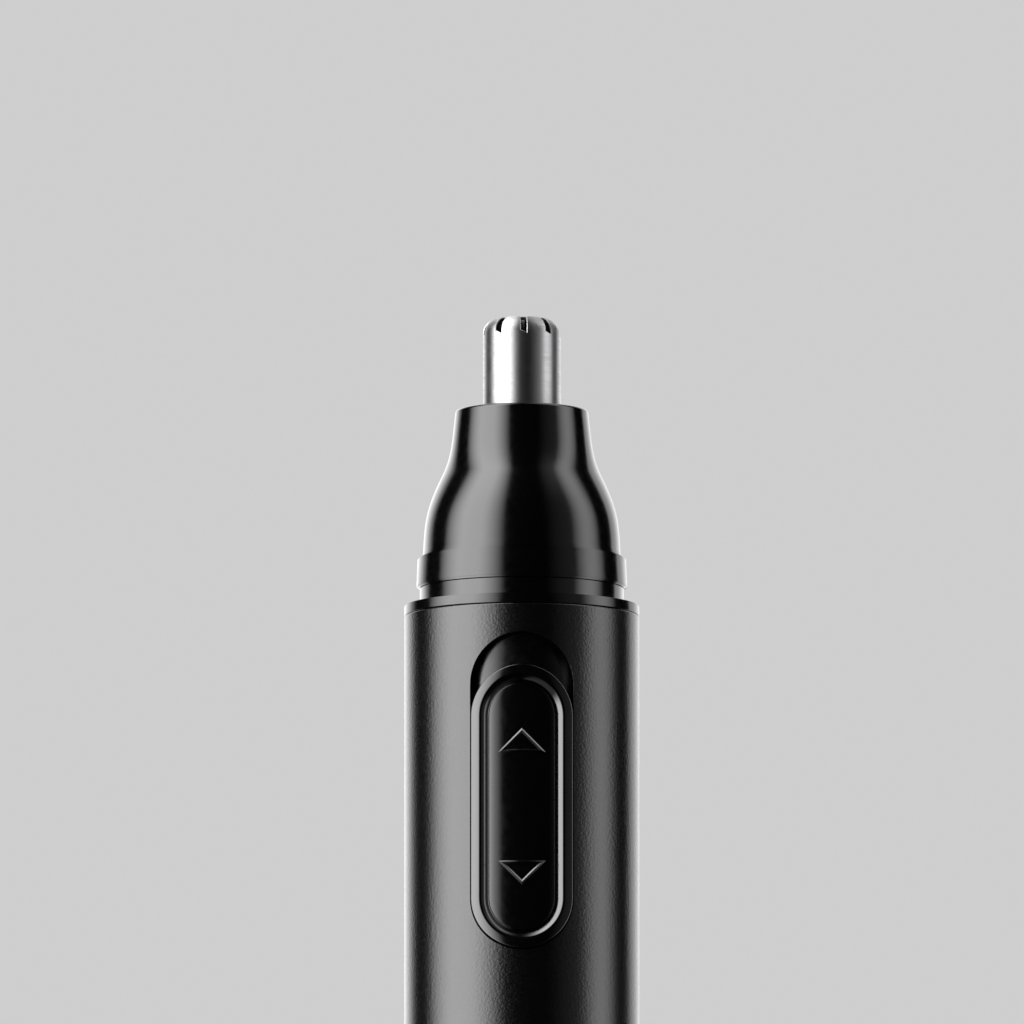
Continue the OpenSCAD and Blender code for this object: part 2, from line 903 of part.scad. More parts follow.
module base_cap() {
    groove_r = cap_spigot_r - 0.67;
    color("#0c0c0e")
    rotate_extrude()
    polygon(concat(
        [[0, 0]],
        arc([cap_r - cap_edge_r, cap_edge_r], cap_edge_r, -90, 0, 6),
        [
            [cap_r, cap_h - fit],
            [cap_spigot_r, cap_h - fit],
            [cap_spigot_r, base_seal_z - seal_groove_half_h],
            [groove_r, base_seal_z - seal_groove_half_h],
            [groove_r, base_seal_z + seal_groove_half_h],
            [cap_spigot_r, base_seal_z + seal_groove_half_h],
            [cap_spigot_r, spigot_top - 0.4],
            [cap_spigot_r - 0.4, spigot_top],
            [room_r, spigot_top],
            [room_r, cap_floor],
            [0, cap_floor]
        ]
    ));
}

module base_seal() {
    color("#202020") o_ring(bore_r - fit - base_seal_r, base_seal_r, base_seal_z);
}

module spring_plate() {
    tab_out_y = strip_out_y - strip_t - 0.1;
    color("#c9c4b2") {
        translate([0, 0, plate_foot]) cylinder(r = plate_r, h = strip_t);
        block([-negative_half_w, 8, plate_foot], [negative_half_w, tab_out_y, plate_foot + strip_t]);
        block([-negative_half_w, tab_out_y - strip_t, plate_foot],
            [negative_half_w, tab_out_y, spigot_top - 0.5]);
    }
}

module negative_spring() {
    wire_r = 0.4;
    color("#c0c2c4")
    wire_spring(6.3, 3.3, wire_r, plate_foot + strip_t + wire_r + touch,
        cell_foot - wire_r - fit, 4);
}

sleeve();
chassis();
head_frame();
neck_seal();
shaft_seal();
motor_clamp();
clamp_screws();
motor_can();
motor_end_cap();
motor_magnets();
front_bearing();
rear_bearing();
motor_brushes();
motor_terminals();
contact_carrier();
positive_contact();
motor_strip();
negative_strip();
cell_body();
cell_terminal();
detent_spring();
switch_button();
switch_slider();
switch_contact();
motor_shaft();
armature_core();
armature_windings();
commutator();
drive_coupling();
nozzle();
cutter_guard();
guard_retainer();
stem_bush();
cutter_blade();
blade_stem();
blade_spring();
base_cap();
base_seal();
spring_plate();
negative_spring();
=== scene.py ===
"""Nose hair trimmer: the looks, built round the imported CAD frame.

Shapes are worked out in millimetres in the frame's own axes (+Z up the handle, the switch
facing -Y) and turned into metres when a mesh is made.
"""
import json
from math import acos, asin, ceil, cos, degrees, hypot, pi, radians, sin, sqrt, tan

import bmesh
import bpy
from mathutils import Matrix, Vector


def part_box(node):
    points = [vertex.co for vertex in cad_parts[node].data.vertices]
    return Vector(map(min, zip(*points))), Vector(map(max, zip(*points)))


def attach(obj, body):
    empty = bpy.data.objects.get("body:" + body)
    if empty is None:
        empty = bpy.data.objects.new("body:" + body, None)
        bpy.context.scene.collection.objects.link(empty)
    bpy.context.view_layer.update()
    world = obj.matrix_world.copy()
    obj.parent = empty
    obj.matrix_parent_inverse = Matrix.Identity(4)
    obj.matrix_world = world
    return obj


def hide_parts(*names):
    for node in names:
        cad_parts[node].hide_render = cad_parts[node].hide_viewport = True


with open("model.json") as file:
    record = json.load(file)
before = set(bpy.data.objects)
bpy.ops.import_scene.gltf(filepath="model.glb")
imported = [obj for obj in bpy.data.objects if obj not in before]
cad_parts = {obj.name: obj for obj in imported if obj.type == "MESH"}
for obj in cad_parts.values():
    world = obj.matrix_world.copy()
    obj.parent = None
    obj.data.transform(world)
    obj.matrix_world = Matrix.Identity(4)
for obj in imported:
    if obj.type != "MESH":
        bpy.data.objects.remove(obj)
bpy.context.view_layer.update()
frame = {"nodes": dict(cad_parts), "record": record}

MM = 0.001
SEGMENTS = 240
ARC_STEP_DEG = 10
SHARP_DEG = 32
WELD_WITHIN = 0.0005
scene = bpy.context.scene


def reach(node):
    """A CAD node's outer radius, foot and top, in millimetres."""
    low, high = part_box(node)
    return high.x / MM, low.z / MM, high.z / MM


BODY_R, SLEEVE_FOOT, SLEEVE_TOP = reach("sleeve")
COLLAR_R, NOZZLE_FOOT, NOZZLE_TOP = reach("nozzle")
CHASSIS_R, _, CHASSIS_TOP = reach("chassis")
_, FRAME_FOOT, HEAD_SEAT = reach("head_frame")
FLANGE_R, GUARD_FOOT, GUARD_TOP = reach("cutter_guard")
CAP_R, CAP_FOOT, CAP_SPIGOT_TOP = reach("base_cap")
BUTTON_R, BUTTON_FOOT, BUTTON_TOP = reach("switch_button")

# Handle
BORE_R = CHASSIS_R + 0.05
RING_TOP = SLEEVE_TOP + 1.15
WINDOW_R = BUTTON_R + 0.08
WINDOW_FOOT = BUTTON_FOOT - 0.15
WINDOW_TOP = SLEEVE_TOP - 3.2

# Switch button: its edge lies a little outside the CAD's, and its pad below the sleeve
BUTTON_HALF_W = BUTTON_R + 0.03
BUTTON_MID = (BUTTON_FOOT + BUTTON_TOP) / 2
PAD_DROP = 0.22

# Head: the seam that shows lies a little above the top of the CAD's neck
NECK_TOP = NOZZLE_FOOT - 0.02
HEAD_SEAM = NECK_TOP + 0.2
SPIGOT_BORE_R = 10.25
KEY_R = 10.7
KEY_HALF_W = 0.8
KEY_GAP = 0.15

# Cutter guard
GUARD_R = FLANGE_R - 1.3
GUARD_WALL = 0.35
GUARD_SEAT = NOZZLE_TOP - 9
SLOTS = 9
SLOT_HALF_W = 0.325
SLOT_DEPTH = 1.85
SLOT_HUB_R = 2.1
STEEL_COLUMNS = 6


# ---------------------------------------------------------------- profiles

def outline(*corners):
    """A path through (x, y) corners; a third number rounds that corner to a radius."""
    path = []
    for i, corner in enumerate(corners):
        here = Vector(corner[:2])
        if len(corner) < 3 or i in (0, len(corners) - 1):
            path.append(tuple(here))
            continue
        back = (Vector(corners[i - 1][:2]) - here).normalized()
        ahead = (Vector(corners[i + 1][:2]) - here).normalized()
        half = acos(max(-1.0, min(1.0, back.dot(ahead)))) / 2
        centre = here + (back + ahead).normalized() * corner[2] / sin(half)
        start = here + back * corner[2] / tan(half) - centre
        sweep = pi - 2 * half
        if back.x * ahead.y - back.y * ahead.x > 0:
            sweep = -sweep
        steps = max(3, ceil(abs(degrees(sweep)) / ARC_STEP_DEG))
        for k in range(steps + 1):
            a = sweep * k / steps
            path.append((centre.x + start.x * cos(a) - start.y * sin(a),
                         centre.y + start.x * sin(a) + start.y * cos(a)))
    return path


def bezier(a, b, c, d, steps):
    """Points along a cubic curve, both ends included."""
    points = []
    for k in range(steps + 1):
        t = k / steps
        u = 1 - t
        points.append(tuple(
            u ** 3 * p + 3 * u * u * t * q + 3 * u * t * t * r + t ** 3 * s
            for p, q, r, s in zip(a, b, c, d)))
    return points


# ---------------------------------------------------------------- meshes

def mesh_piece(name, points, faces, body, material, round_faces=(), sharp=SHARP_DEG):
    """A closed mesh piece from millimetre points, shaded smooth but for its sharp edges.

    The faces in round_faces lie on a cylinder about the Z axis and get its true normals."""
    mesh = bpy.data.meshes.new(name)
    mesh.from_pydata([Vector(p) * MM for p in points], [], faces)
    mesh.update()
    round_faces = set(round_faces)
    mark = mesh.attributes.new("on_cylinder", "INT", "FACE")
    mark.data.foreach_set("value", [int(i in round_faces) for i in range(len(faces))])
    work = bmesh.new()
    work.from_mesh(mesh)
    bmesh.ops.remove_doubles(work, verts=work.verts, dist=WELD_WITHIN * MM)
    bmesh.ops.recalc_face_normals(work, faces=work.faces)
    for face in work.faces:
        face.smooth = True
    for edge in work.edges:
        edge.smooth = len(edge.link_faces) == 2 and edge.calc_face_angle() < radians(sharp)
    work.to_mesh(mesh)
    work.free()
    if round_faces:
        on_cylinder = mesh.attributes["on_cylinder"].data
        radial_normals(mesh, lambda polygon: on_cylinder[polygon.index].value)
    mesh.attributes.remove(mesh.attributes["on_cylinder"])
    piece = bpy.data.objects.new(name, mesh)
    scene.collection.objects.link(piece)
    mesh.materials.append(material)
    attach(piece, body)
    return piece


def radial_normals(mesh, chosen):
    """Gives the faces that chosen picks the normals of a cylinder about the Z axis."""
    normals = []
    for polygon in mesh.polygons:
        for corner in polygon.loop_indices:
            place = mesh.vertices[mesh.loops[corner].vertex_index].co
            radial = Vector((place.x, place.y, 0)).normalized()
            if radial.dot(polygon.normal) < 0:
                radial = -radial
            normals.append(radial if chosen(polygon) else Vector())
    mesh.normals_split_custom_set(normals)


def in_band(polygon, inner_r, foot, top):
    """Whether a face lies outside a radius and between two heights, in millimetres."""
    centre = polygon.center / MM
    return hypot(centre.x, centre.y) > inner_r and foot < centre.z < top


def bridge(first, second):
    """Quads between two closed index loops of the same length."""
    count = len(first)
    return [(first[i], first[(i + 1) % count], second[(i + 1) % count], second[i])
            for i in range(count)]


def join_meshes(*parts):
    """Several meshes' points and faces as those of one mesh."""
    points = []
    faces = []
    for more_points, more_faces in parts:
        offset = len(points)
        points += more_points
        faces += [tuple(i + offset for i in face) for face in more_faces]
    return points, faces


def lathe_mesh(profile, segments=SEGMENTS):
    """Points and faces of a profile turned about Z. It closes on itself unless both
    ends lie on the axis."""
    points = []
    for radius, height in profile:
        for k in range(segments):
            a = 2 * pi * k / segments
            points.append((radius * cos(a), radius * sin(a), height))
    rows = [list(range(i * segments, (i + 1) * segments)) for i in range(len(profile))]
    on_axis = profile[0][0] == 0 and profile[-1][0] == 0
    following = rows[1:] if on_axis else rows[1:] + rows[:1]
    faces = []
    for row, next_row in zip(rows, following):
        faces += bridge(row, next_row)
    return points, faces


def lathe_piece(name, profile, body, material, extras=()):
    """A turned piece, with the meshes in extras joined on."""
    points, faces = join_meshes(lathe_mesh(profile), *extras)
    return mesh_piece(name, points, faces, body, material)


def block_mesh(low, high, edge=0.1):
    """Points and faces of a box with chamfered edges, between two corners."""
    work = bmesh.new()
    bmesh.ops.create_cube(work, size=1.0)
    for vert in work.verts:
        vert.co = Vector([lo + (c + 0.5) * (hi - lo) for lo, hi, c in zip(low, high, vert.co)])
    bmesh.ops.bevel(work, geom=work.edges[:], offset=edge, segments=2, affect="EDGES")
    work.verts.index_update()
    points = [tuple(v.co) for v in work.verts]
    faces = [tuple(v.index for v in f.verts) for f in work.faces]
    work.free()
    return points, faces


def cut_block(piece, low, high, edge):
    """Cuts a box with chamfered edges out of a piece."""
    points, faces = block_mesh(low, high, edge)
    mesh = bpy.data.meshes.new("cutter")
    mesh.from_pydata([Vector(p) * MM for p in points], [], faces)
    cutter = bpy.data.objects.new("cutter", mesh)
    scene.collection.objects.link(cutter)
    difference = piece.modifiers.new("cut", "BOOLEAN")
    difference.operation = "DIFFERENCE"
    difference.solver = "EXACT"
    difference.object = cutter
    graph = bpy.context.evaluated_depsgraph_get()
    done = bpy.data.meshes.new_from_object(piece.evaluated_get(graph))
    piece.modifiers.clear()
    uncut = piece.data
    piece.data = done
    bpy.data.meshes.remove(uncut)
    bpy.data.objects.remove(cutter)
    bpy.data.meshes.remove(mesh)


# ---------------------------------------------------------------- materials

# The range that holds most of a texture's values
TEXTURE_LOW, TEXTURE_HIGH = 0.3, 0.7


def new_material(name, colour, roughness, metallic=0.0, ior=1.46, specular=0.5):
    """A Principled material; its even values sit on the shader's own sockets."""
    material = bpy.data.materials.new(name)
    material.use_nodes = True
    shader = material.node_tree.nodes["Principled BSDF"]
    shader.inputs["Base Color"].default_value = (*colour, 1)
    shader.inputs["Roughness"].default_value = roughness
    shader.inputs["Metallic"].default_value = metallic
    shader.inputs["IOR"].default_value = ior
    shader.inputs["Specular IOR Level"].default_value = specular
    return material, shader


def noise(material, size_mm, stretch=(1, 1, 1), detail=3.0, cells=False, seed=0.0):
    """A texture whose grains are about size_mm across; stretch lengthens them along an axis."""
    tree = material.node_tree
    place = tree.nodes.new("ShaderNodeTexCoord")
    mapping = tree.nodes.new("ShaderNodeMapping")
    mapping.inputs["Location"].default_value = (seed, seed * 0.7, seed * 1.3)
    mapping.inputs["Scale"].default_value = [1 / (size_mm * MM * s) for s in stretch]
    tree.links.new(place.outputs["Object"], mapping.inputs["Vector"])
    if cells:
        grain = tree.nodes.new("ShaderNodeTexVoronoi")
        grain.feature = "SMOOTH_F1"
        grain.inputs["Scale"].default_value = 1.0
        grain.inputs["Smoothness"].default_value = 0.6
        out = grain.outputs["Distance"]
    else:
        grain = tree.nodes.new("ShaderNodeTexNoise")
        grain.inputs["Scale"].default_value = 1.0
        grain.inputs["Detail"].default_value = detail
        out = grain.outputs["Fac"]
    tree.links.new(mapping.outputs["Vector"], grain.inputs["Vector"])
    return out


def spread(material, source, low, high):
    """The texture's middle range spread over low to high."""
    tree = material.node_tree
    mapper = tree.nodes.new("ShaderNodeMapRange")
    mapper.inputs["From Min"].default_value = TEXTURE_LOW
    mapper.inputs["From Max"].default_value = TEXTURE_HIGH
    mapper.inputs["To Min"].default_value = low
    mapper.inputs["To Max"].default_value = high
    tree.links.new(source, mapper.inputs["Value"])
    return mapper.outputs["Result"]


def add_bump(material, shader, layers):
    """Stacks bumps: each layer is a texture and its depth in millimetres."""
    tree = material.node_tree
    previous = None
    for source, depth_mm in layers:
        bump = tree.nodes.new("ShaderNodeBump")
        bump.inputs["Strength"].default_value = 1.0
        bump.inputs["Distance"].default_value = depth_mm * MM
        tree.links.new(source, bump.inputs["Height"])
        if previous:
            tree.links.new(previous, bump.inputs["Normal"])
        previous = bump.outputs["Normal"]
    tree.links.new(previous, shader.inputs["Normal"])


def vary_roughness(material, shader, source, low, high):
    """Lets the roughness run from low to high with a texture."""
    material.node_tree.links.new(spread(material, source, low, high), shader.inputs["Roughness"])


def vary_colour(material, shader, source, colour):
    """Mottles the base colour between a slightly darker colour and the one given."""
    dark = [0.85 * c for c in colour]
    tree = material.node_tree
    ramp = tree.nodes.new("ShaderNodeValToRGB")
    ramp.color_ramp.elements[0].position = TEXTURE_LOW
    ramp.color_ramp.elements[0].color = (*dark, 1)
    ramp.color_ramp.elements[1].position = TEXTURE_HIGH
    ramp.color_ramp.elements[1].color = (*colour, 1)
    tree.links.new(source, ramp.inputs["Fac"])
    tree.links.new(ramp.outputs["Color"], shader.inputs["Base Color"])


def grained_plastic():
    """Satin black with a fine spark-eroded grain, like very fine leather."""
    low, high = 0.18, 0.24
    material, shader = new_material("sleeve_grain", (0.0006, 0.0006, 0.0006), (low + high) / 2, ior=1.52)
    cells = noise(material, 0.32, cells=True)
    fine = noise(material, 0.16, detail=2.0)
    add_bump(material, shader, [(cells, 0.011), (fine, 0.010)])
    vary_roughness(material, shader, noise(material, 0.3, seed=5.0), low, high)
    return material


def gloss_plastic(name, roughness=0.13, streaks=True, ior=1.5):
    """Polished black moulding with a very slight orange peel and, on turned shapes, faint streaks."""
    material, shader = new_material(name, (0.0005, 0.0005, 0.0005), roughness, ior=ior)
    peel = noise(material, 2.2, detail=1.0)
    layers = [(peel, 0.002)]
    if streaks:
        layers.append((noise(material, 0.12, stretch=(30, 30, 1), detail=2.0), 0.0004))
    add_bump(material, shader, layers)
    vary_roughness(material, shader, noise(material, 0.8, seed=3.0), roughness * 0.85, roughness * 1.2)
    return material


def brushed_metal(name, colour, roughness, along, turned=False):
    """Metal with fine lines that along stretches. Turned metal also has a ringed sheen."""
    material, shader = new_material(name, colour, roughness, metallic=1.0)
    if turned:
        tangent = material.node_tree.nodes.new("ShaderNodeTangent")
        tangent.direction_type = "RADIAL"
        tangent.axis = "Z"
        material.node_tree.links.new(tangent.outputs["Tangent"], shader.inputs["Tangent"])
        shader.inputs["Anisotropic"].default_value = 0.85
        shader.inputs["Anisotropic Rotation"].default_value = 0.25
    lines = noise(material, 0.07, stretch=along, detail=2.0)
    add_bump(material, shader, [(lines, 0.0002)])
    vary_roughness(material, shader, noise(material, 0.12, stretch=along, seed=2.0),
                   roughness * 0.8, roughness * 1.25)
    return material


def plain_metal(name, colour, roughness, grain_mm):
    """Stamped or drawn metal with slight mottling."""
    material, shader = new_material(name, colour, roughness, metallic=1.0)
    mottle = noise(material, grain_mm)
    add_bump(material, shader, [(mottle, 0.001)])
    vary_roughness(material, shader, mottle, roughness * 0.8, roughness * 1.25)
    vary_colour(material, shader, noise(material, 3 * grain_mm, seed=7.0), colour)
    return material


def moulded(name, colour, roughness, grain_mm=0.4):
    """Moulded plastic or rubber with a faint surface texture."""
    material, shader = new_material(name, colour, roughness)
    texture = noise(material, grain_mm)
    add_bump(material, shader, [(texture, 0.002)])
    vary_roughness(material, shader, texture, roughness * 0.85, roughness * 1.15)
    vary_colour(material, shader, noise(material, 4 * grain_mm, seed=4.0), colour)
    return material


MATERIALS = {
    "sleeve_black": grained_plastic(),
    "frame_black": gloss_plastic("frame_black", roughness=0.2, streaks=False),
    "gloss_black": gloss_plastic("gloss_black"),
    "blade_steel": brushed_metal("blade_steel", (0.3, 0.3, 0.305), 0.42, (25, 25, 1), turned=True),
    "wire_steel": plain_metal("wire_steel", (0.55, 0.55, 0.56), 0.25, 0.2),
    "can_steel": plain_metal("can_steel", (0.5, 0.5, 0.52), 0.35, 0.5),
    "shaft_steel": plain_metal("shaft_steel", (0.6, 0.6, 0.61), 0.12, 0.2),
    "core_steel": brushed_metal("core_steel", (0.25, 0.25, 0.27), 0.4, (30, 30, 1)),
    "magnet_grey": moulded("magnet_grey", (0.06, 0.06, 0.065), 0.6, 0.15),
    "sintered_bronze": plain_metal("sintered_bronze", (0.42, 0.30, 0.15), 0.5, 0.08),
    "contact_brass": plain_metal("contact_brass", (0.70, 0.53, 0.25), 0.25, 0.4),
    "contact_nickel": plain_metal("contact_nickel", (0.62, 0.60, 0.54), 0.22, 0.4),
    "copper_wire": brushed_metal("copper_wire", (0.55, 0.24, 0.10), 0.3, (1, 1, 20)),
    "commutator_copper": brushed_metal("commutator_copper", (0.66, 0.36, 0.20), 0.2, (20, 20, 1)),
    "natural_nylon": moulded("natural_nylon", (0.55, 0.53, 0.47), 0.5),
    "acetal_white": moulded("acetal_white", (0.55, 0.54, 0.51), 0.35),
    "carrier_board": moulded("carrier_board", (0.42, 0.36, 0.24), 0.6, 0.2),
    "seal_rubber": moulded("seal_rubber", (0.015, 0.015, 0.015), 0.55, 0.2),
    "cell_jacket": moulded("cell_jacket", (0.03, 0.05, 0.07), 0.3, 0.6),
    "cell_cap": plain_metal("cell_cap", (0.6, 0.6, 0.6), 0.25, 0.3),
}
BUTTON_GLOSS = gloss_plastic("button_gloss", streaks=False, ior=1.6)
# Near-black steel that stands in for the shade inside the guard: painted shade, put on the blade and on
# the guard tube's inner faces.
PAINTED_SHADE_STEEL = plain_metal("painted_shade_steel", (0.03, 0.03, 0.032), 0.45, 0.2)
SLOT_OF = {part["node"]: part["material_slot"] for part in frame["record"]["subparts"]}
for node_name, node_object in frame["nodes"].items():
    node_object.data.materials.clear()
    node_object.data.materials.append(MATERIALS[SLOT_OF[node_name]])
# The blade behind the slots gets the near-black steel as painted shade.
frame["nodes"]["cutter_blade"].data.materials[0] = PAINTED_SHADE_STEEL


# ---------------------------------------------------------------- windowed sleeve

class WindowWall:
    """One skin of the sleeve: a cylinder with a round-ended window in its front.

    Its grid has equal columns all the way round. In front, the rows above PATCH_FOOT give
    way to a fan between the patch's square border and the window, widened by edge."""
    COLUMNS = 144
    FRONT = 24
    ROWS = 28
    FAN = 8
    PATCH_FOOT = WINDOW_FOOT - 4

    def __init__(self, radius, foot, top, edge):
        self.radius = radius
        self.edge = edge
        self.points = []
        self.faces = []
        self.index = {}
        self.levels = [foot, foot + (self.PATCH_FOOT - foot) / 2]
        first = len(self.levels)
        self.levels += [self.PATCH_FOOT + (top - self.PATCH_FOOT) * k / self.ROWS
                        for k in range(self.ROWS + 1)]
        last = len(self.levels) - 1
        self.add_grid(first, last)
        border = [(c, first) for c in range(-self.FRONT, self.FRONT)]
        border += [(self.FRONT, r) for r in range(first, last)]
        border += [(c, last) for c in range(self.FRONT, -self.FRONT, -1)]
        border += [(-self.FRONT, r) for r in range(last, first, -1)]
        self.rays = [self.ray(*spot) for spot in border]
        self.hole = self.add_fan([self.node(*spot) for spot in border])
        self.foot_ring = [self.node(c, 0) for c in range(self.COLUMNS)]
        self.top_ring = [self.node(c, last) for c in range(self.COLUMNS)]

    def turn(self, column):
        """The angle of a column round from the front."""
        return 2 * pi * column / self.COLUMNS

    def add(self, turn, z):
        """Adds a point of the cylinder and returns its index."""
        self.points.append((self.radius * sin(turn), -self.radius * cos(turn), z))
        return len(self.points) - 1

    def node(self, column, row):
        """The index of a grid point, which is added when it is first asked for."""
        key = (column % self.COLUMNS, row)
        if key not in self.index:
            self.index[key] = self.add(self.turn(key[0]), self.levels[row])
        return self.index[key]

    def add_grid(self, first, last):
        """The faces of the grid, all but the patch in front of rows first to last."""
        for row in range(last):
            for column in range(self.COLUMNS):
                in_front = column < self.FRONT or column >= self.COLUMNS - self.FRONT
                if row >= first and in_front:
                    continue
                self.faces.append((self.node(column, row), self.node(column + 1, row),
                                   self.node(column + 1, row + 1), self.node(column, row + 1)))

    def ray(self, column, row):
        """From a border point to the window's middle line: the height it starts from
        there, its outward direction, and the border point's own angle and height."""
        turn = self.turn(column)
        x, z = self.radius * sin(turn), self.levels[row]
        anchor = min(max(z, WINDOW_FOOT + WINDOW_R), WINDOW_TOP - WINDOW_R)
        away = hypot(x, z - anchor)
        return anchor, x / away, (z - anchor) / away, turn, z

    def add_fan(self, loop):
        """Rings of faces from the border loop in to the window; returns the last ring."""
        for k in range(self.FAN - 1, -1, -1):
            inner = [self.fan_point(ray, k / self.FAN) for ray in self.rays]
            self.faces += bridge(loop, inner)
            loop = inner
        return loop

    def fan_point(self, ray, share):
        """A point on the cylinder between the window's edge, at 0, and the border, at 1."""
        anchor, out_x, out_z, far_turn, far_z = ray
        near_turn = asin((WINDOW_R + self.edge) * out_x / self.radius)
        near_z = anchor + (WINDOW_R + self.edge) * out_z
        return self.add(near_turn + (far_turn - near_turn) * share, near_z + (far_z - near_z) * share)


def sleeve():
    """The textured tube, with rounded edges at its ends and round the window."""
    rim, rim_steps = 0.15, 3
    edge, edge_steps = 0.05, 5
    outer = WindowWall(BODY_R, SLEEVE_FOOT + rim, SLEEVE_TOP - rim, edge)
    inner = WindowWall(BORE_R, SLEEVE_FOOT, SLEEVE_TOP, 0)
    points, faces = join_meshes((outer.points, outer.faces), (inner.points, inner.faces))
    offset = len(outer.points)
    skins = range(len(faces))
    loop = outer.hole
    for k in range(1, edge_steps + 1):
        a = pi / 2 * k / edge_steps
        out = WINDOW_R + edge * (1 - sin(a))
        radius = BODY_R - edge * (1 - cos(a))
        ring = []
        for anchor, out_x, out_z, *_ in outer.rays:
            ring.append(len(points))
            points.append((out * out_x, -sqrt(radius ** 2 - (out * out_x) ** 2), anchor + out * out_z))
        faces += bridge(loop, ring)
        loop = ring
    faces += bridge(loop, [i + offset for i in inner.hole])
    for loop, inner_loop, level, side in (
            (outer.foot_ring, inner.foot_ring, SLEEVE_FOOT, 1),
            (outer.top_ring, inner.top_ring, SLEEVE_TOP, -1)):
        for k in range(1, rim_steps + 1):
            a = pi / 2 * k / rim_steps
            radius = BODY_R - rim * (1 - cos(a))
            height = level + side * rim * (1 - sin(a))
            ring = []
            for column in range(WindowWall.COLUMNS):
                turn = outer.turn(column)
                ring.append(len(points))
                points.append((radius * sin(turn), -radius * cos(turn), height))
            faces += bridge(loop, ring)
            loop = ring
        faces += bridge(loop, [i + offset for i in inner_loop])
    piece = mesh_piece("sleeve_shell", points, faces, "handle",
                       MATERIALS["sleeve_black"], round_faces=skins)
    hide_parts("sleeve")


def recess_floor():
    """The glossy skin of the inner frame that shows in the window."""
    margin, proud, thick = 0.6, 0.035, 0.023
    half_w = WINDOW_R + margin
    foot, top = WINDOW_FOOT - margin, WINDOW_TOP + margin
    columns, rows = 40, 24
    points = []
    layers = []
    for radius in (CHASSIS_R + proud, CHASSIS_R + proud - thick):
        sheet = []
        for j in range(rows + 1):
            for i in range(columns + 1):
                turn = asin(half_w / radius) * (2 * i / columns - 1)
                sheet.append(len(points))
                points.append((radius * sin(turn), -radius * cos(turn),
                               foot + (top - foot) * j / rows))
        layers.append(sheet)
    wide = columns + 1
    faces = []
    for sheet in layers:
        for j in range(rows):
            for i in range(columns):
                k = j * wide + i
                faces.append((sheet[k], sheet[k + 1], sheet[k + wide + 1], sheet[k + wide]))
    skins = range(len(faces))
    border = list(range(wide))
    border += [j * wide + columns for j in range(1, rows + 1)]
    border += [rows * wide + i for i in range(columns - 1, -1, -1)]
    border += [j * wide for j in range(rows - 1, 0, -1)]
    faces += bridge([layers[0][i] for i in border], [layers[1][i] for i in border])
    mesh_piece("recess_floor", points, faces, "handle",
               MATERIALS["frame_black"], round_faces=skins)


# ---------------------------------------------------------------- switch button

def button_section():
    """The button's section: distance in from its edge, and height above the sleeve."""
    skirt = BORE_R + 0.06 - BODY_R
    wall_foot = -0.50
    return outline(
        (0, skirt),
        (0, 0.27, 0.1),
        (1.03, 0.30, 0.55),
        (1.45, -0.06, 1.2),
        (1.87, wall_foot, 0.05),
        (1.95, wall_foot, 0.04),
        (2.04, -PAD_DROP, 0.05),
        (2.6, -PAD_DROP),
    )


def button_stations():
    """Anchor height and outward direction of each point round the button's edge."""
    low, high = BUTTON_FOOT + BUTTON_HALF_W, BUTTON_TOP - BUTTON_HALF_W
    per_end, per_side = 40, 24
    stations = []
    for start, way, centre in ((0, 1, high), (180, -1, low)):
        for k in range(per_end):
            a = radians(start + 180 * k / per_end)
            stations.append((centre, cos(a), sin(a)))
        for k in range(per_side):
            stations.append((centre - way * (high - low) * k / per_side, -way, 0))
    return stations


def switch_button():
    """Slide button: a rounded rim, a sloped inner wall and a pad round the handle's axis."""
    stations = button_stations()
    section = button_section()
    pad_edge, underside = section[-1][0], section[0][1]
    pad_rings, under_rings = 5, 6
    section += [(pad_edge + (BUTTON_HALF_W - pad_edge) * k / pad_rings, -PAD_DROP)
                for k in range(1, pad_rings + 1)]
    under = [(BUTTON_HALF_W * k / under_rings, underside) for k in range(1, under_rings + 1)]
    points = []

    def ring(inset, height):
        """Adds the points of a loop set in from the button's edge."""
        made = []
        for anchor, out_x, out_z in stations:
            x = (BUTTON_HALF_W - inset) * out_x
            made.append(len(points))
            points.append((x, -sqrt((BODY_R + height) ** 2 - x * x),
                           anchor + (BUTTON_HALF_W - inset) * out_z))
        return made

    faces = []
    rings = [ring(*place) for place in section]
    for first, second in zip(rings, rings[1:]):
        faces += bridge(first, second)
    pad = range(len(faces) - pad_rings * len(stations), len(faces))
    first = rings[0]
    for place in under:
        second = ring(*place)
        faces += bridge(first, second)
        first = second
    leg_half_w, leg_half_h, leg_spread, leg_tip_y = 1.2, 1, 5, -8.8
    legs = []
    for z in (BUTTON_MID - leg_spread, BUTTON_MID + leg_spread):
        legs.append(block_mesh((-leg_half_w, -BORE_R - 0.3, z - leg_half_h),
                               (leg_half_w, leg_tip_y, z + leg_half_h)))
    points, faces = join_meshes((points, faces), *legs)
    piece = mesh_piece("slide_button", points, faces, "switch",
                       BUTTON_GLOSS, round_faces=pad)
    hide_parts("switch_button")


